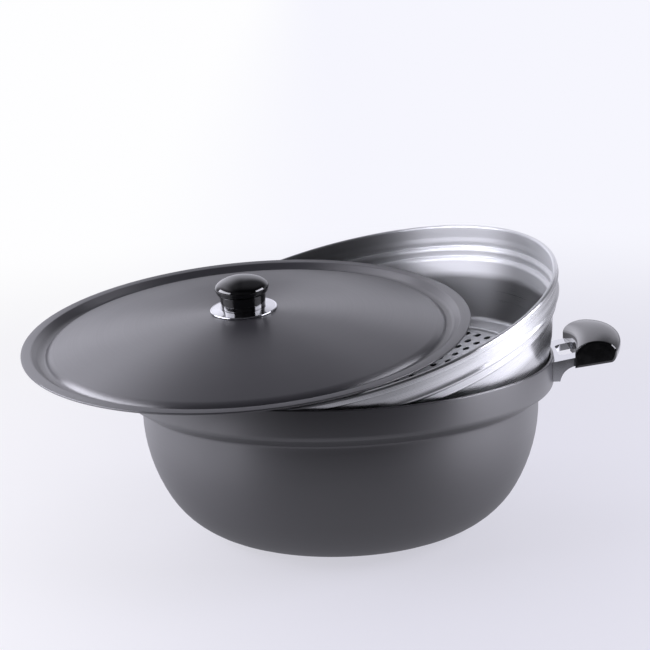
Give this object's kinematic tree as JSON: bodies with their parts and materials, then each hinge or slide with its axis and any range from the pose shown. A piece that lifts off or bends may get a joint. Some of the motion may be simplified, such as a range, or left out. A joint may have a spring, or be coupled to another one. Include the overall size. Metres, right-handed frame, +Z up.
{
  "type": "steamer pot",
  "caption": "Dark steamer pot with side handles, a bright perforated steamer standing tilted in it, and a domed lid leaning on both.",
  "frame": {"origin": "centre of the pot's flat base, on the surface that it stands on", "axes": "+Z up; +X from the pot's axis towards the handle that shows; the picture looks along +Y"},
  "size_m": [0.4587, 0.3527, 0.213],
  "materials": {
    "anodised": "dark satin anodised",
    "bare_aluminium": "bright satin",
    "bakelite": "gloss",
    "bright_steel": "polished",
    "rivets": "satin",
    "screws": "zinc plated",
    "brass": "turned"
  },
  "bodies": {
    "pot": {"pot_body": "anodised", "handle_bracket_right": "bright_steel", "handle_bracket_left": "bright_steel", "handle_rivets_right": "rivets", "handle_rivets_left": "rivets", "handle_grip_right": "bakelite", "handle_grip_left": "bakelite", "grip_screw_right": "screws", "grip_screw_left": "screws", "grip_insert_right": "brass", "grip_insert_left": "brass"},
    "steamer": {"steamer_insert": "bare_aluminium"},
    "lid": {"lid_shell": "anodised", "knob_flange": "bright_steel", "lid_knob": "bakelite", "knob_insert": "brass", "knob_screw": "screws", "knob_washer": "screws"}
  },
  "joints": [
    {"name": "steamer_lift", "type": "slide", "parent": "pot", "child": "steamer", "axis": [0, 0, 1], "range_m": [0, 0.12]},
    {"name": "lid_lift", "type": "slide", "parent": "steamer", "child": "lid", "axis": [0, 0, 1], "range_m": [0, 0.12]}
  ]
}
